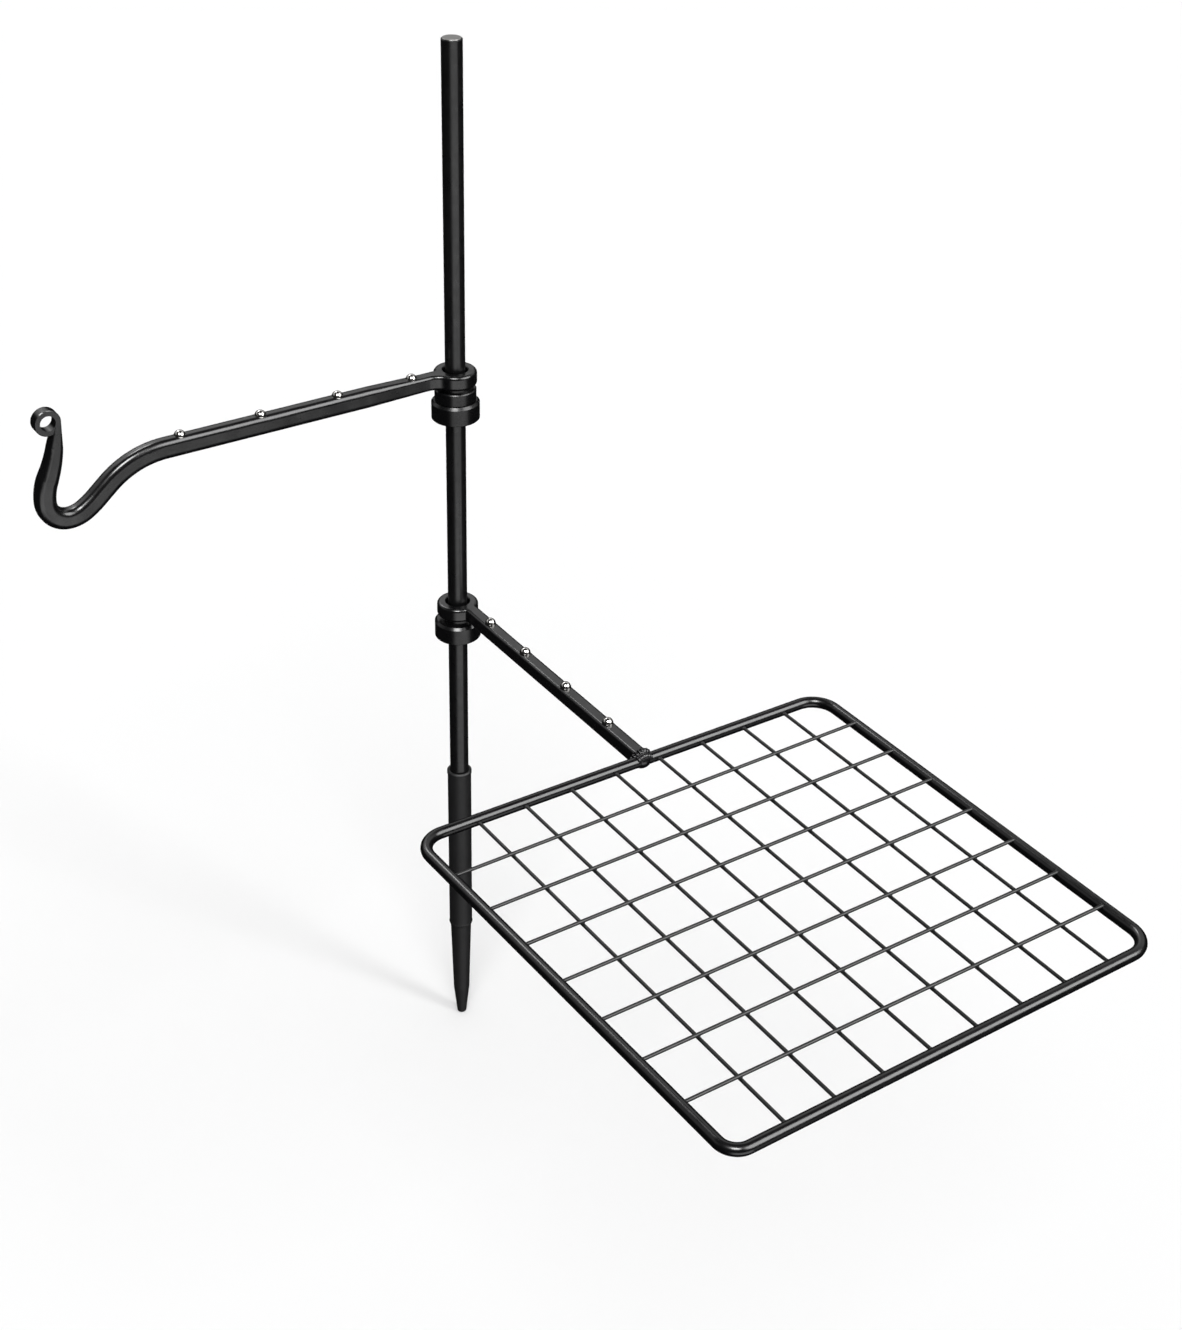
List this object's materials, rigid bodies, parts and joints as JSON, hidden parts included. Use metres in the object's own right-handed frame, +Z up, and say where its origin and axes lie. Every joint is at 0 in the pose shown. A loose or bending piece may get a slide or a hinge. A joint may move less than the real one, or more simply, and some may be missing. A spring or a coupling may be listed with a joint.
{
  "type": "campfire swing grill",
  "caption": "Round pole on a driven ground spike, with a swinging pot hook arm and a swinging square wire grill, each turning on its own clamped collar.",
  "frame": {"origin": "tip of the ground spike, on the pole's axis", "axes": "+Z up the pole, +X along the grill arm from the pole to the grate, -Y along the hook arm"},
  "size_m": [0.811, 0.6534, 1.151],
  "materials": {
    "stake_coat": "satin black powder coat",
    "pole_coat": "satin black powder coat",
    "collar_coat": "satin black powder coat",
    "arm_coat": "semi-gloss black powder coat",
    "frame_coat": "semi-gloss black powder coat",
    "wire_coat": "semi-gloss black powder coat",
    "nub_steel": "polished steel",
    "screw_steel": "black-oxide steel"
  },
  "bodies": {
    "stake": {"spike_point": "stake_coat", "socket_tube": "stake_coat"},
    "pole": {"pole": "pole_coat"},
    "hook_rest": {"hook_collar": "collar_coat", "hook_spacer": "collar_coat", "hook_washer": "collar_coat"},
    "hook_screw": {"hook_set_screw": "screw_steel"},
    "hook_arm": {"hook_arm_eye": "arm_coat", "hook_arm_bar": "arm_coat", "hook_nub_1": "nub_steel", "hook_nub_2": "nub_steel", "hook_nub_3": "nub_steel", "hook_nub_4": "nub_steel"},
    "grill_rest": {"grill_collar": "collar_coat", "grill_washer": "collar_coat"},
    "grill_screw": {"grill_set_screw": "screw_steel"},
    "grill_arm": {"grill_arm_eye": "arm_coat", "grill_arm_bar": "arm_coat", "arm_weld": "arm_coat", "grate_frame": "frame_coat", "grill_nub_1": "nub_steel", "grill_nub_2": "nub_steel", "grill_nub_3": "nub_steel", "grill_nub_4": "nub_steel", "long_wire_1": "wire_coat", "long_wire_2": "wire_coat", "long_wire_3": "wire_coat", "long_wire_4": "wire_coat", "long_wire_5": "wire_coat", "long_wire_6": "wire_coat", "long_wire_7": "wire_coat", "long_wire_8": "wire_coat", "cross_wire_1": "wire_coat", "cross_wire_2": "wire_coat", "cross_wire_3": "wire_coat", "cross_wire_4": "wire_coat", "cross_wire_5": "wire_coat", "cross_wire_6": "wire_coat", "cross_wire_7": "wire_coat"}
  },
  "joints": [
    {"name": "pole_lift", "type": "slide", "parent": "stake", "child": "pole", "axis": [0, 0, 1], "range_m": [0, 0.19]},
    {"name": "hook_height", "type": "slide", "parent": "pole", "child": "hook_rest", "axis": [0, 0, 1], "range_m": [-0.095, 0.31]},
    {"name": "hook_screw_turn", "type": "hinge", "parent": "hook_rest", "child": "hook_screw", "pos_m": [0, 0, 0.78465], "axis": [-0.866, 0.5, 0], "continuous": true},
    {"name": "hook_swing", "type": "hinge", "parent": "hook_rest", "child": "hook_arm", "pos_m": [0, 0, 0.82], "axis": [0, 0, 1], "continuous": true},
    {"name": "grill_height", "type": "slide", "parent": "pole", "child": "grill_rest", "axis": [0, 0, 1], "range_m": [-0.17, 0.085]},
    {"name": "grill_screw_turn", "type": "hinge", "parent": "grill_rest", "child": "grill_screw", "pos_m": [0, 0, 0.53265], "axis": [-0.866, 0.5, 0], "continuous": true},
    {"name": "grill_swing", "type": "hinge", "parent": "grill_rest", "child": "grill_arm", "pos_m": [0, 0, 0.5571], "axis": [0, 0, 1], "continuous": true}
  ]
}
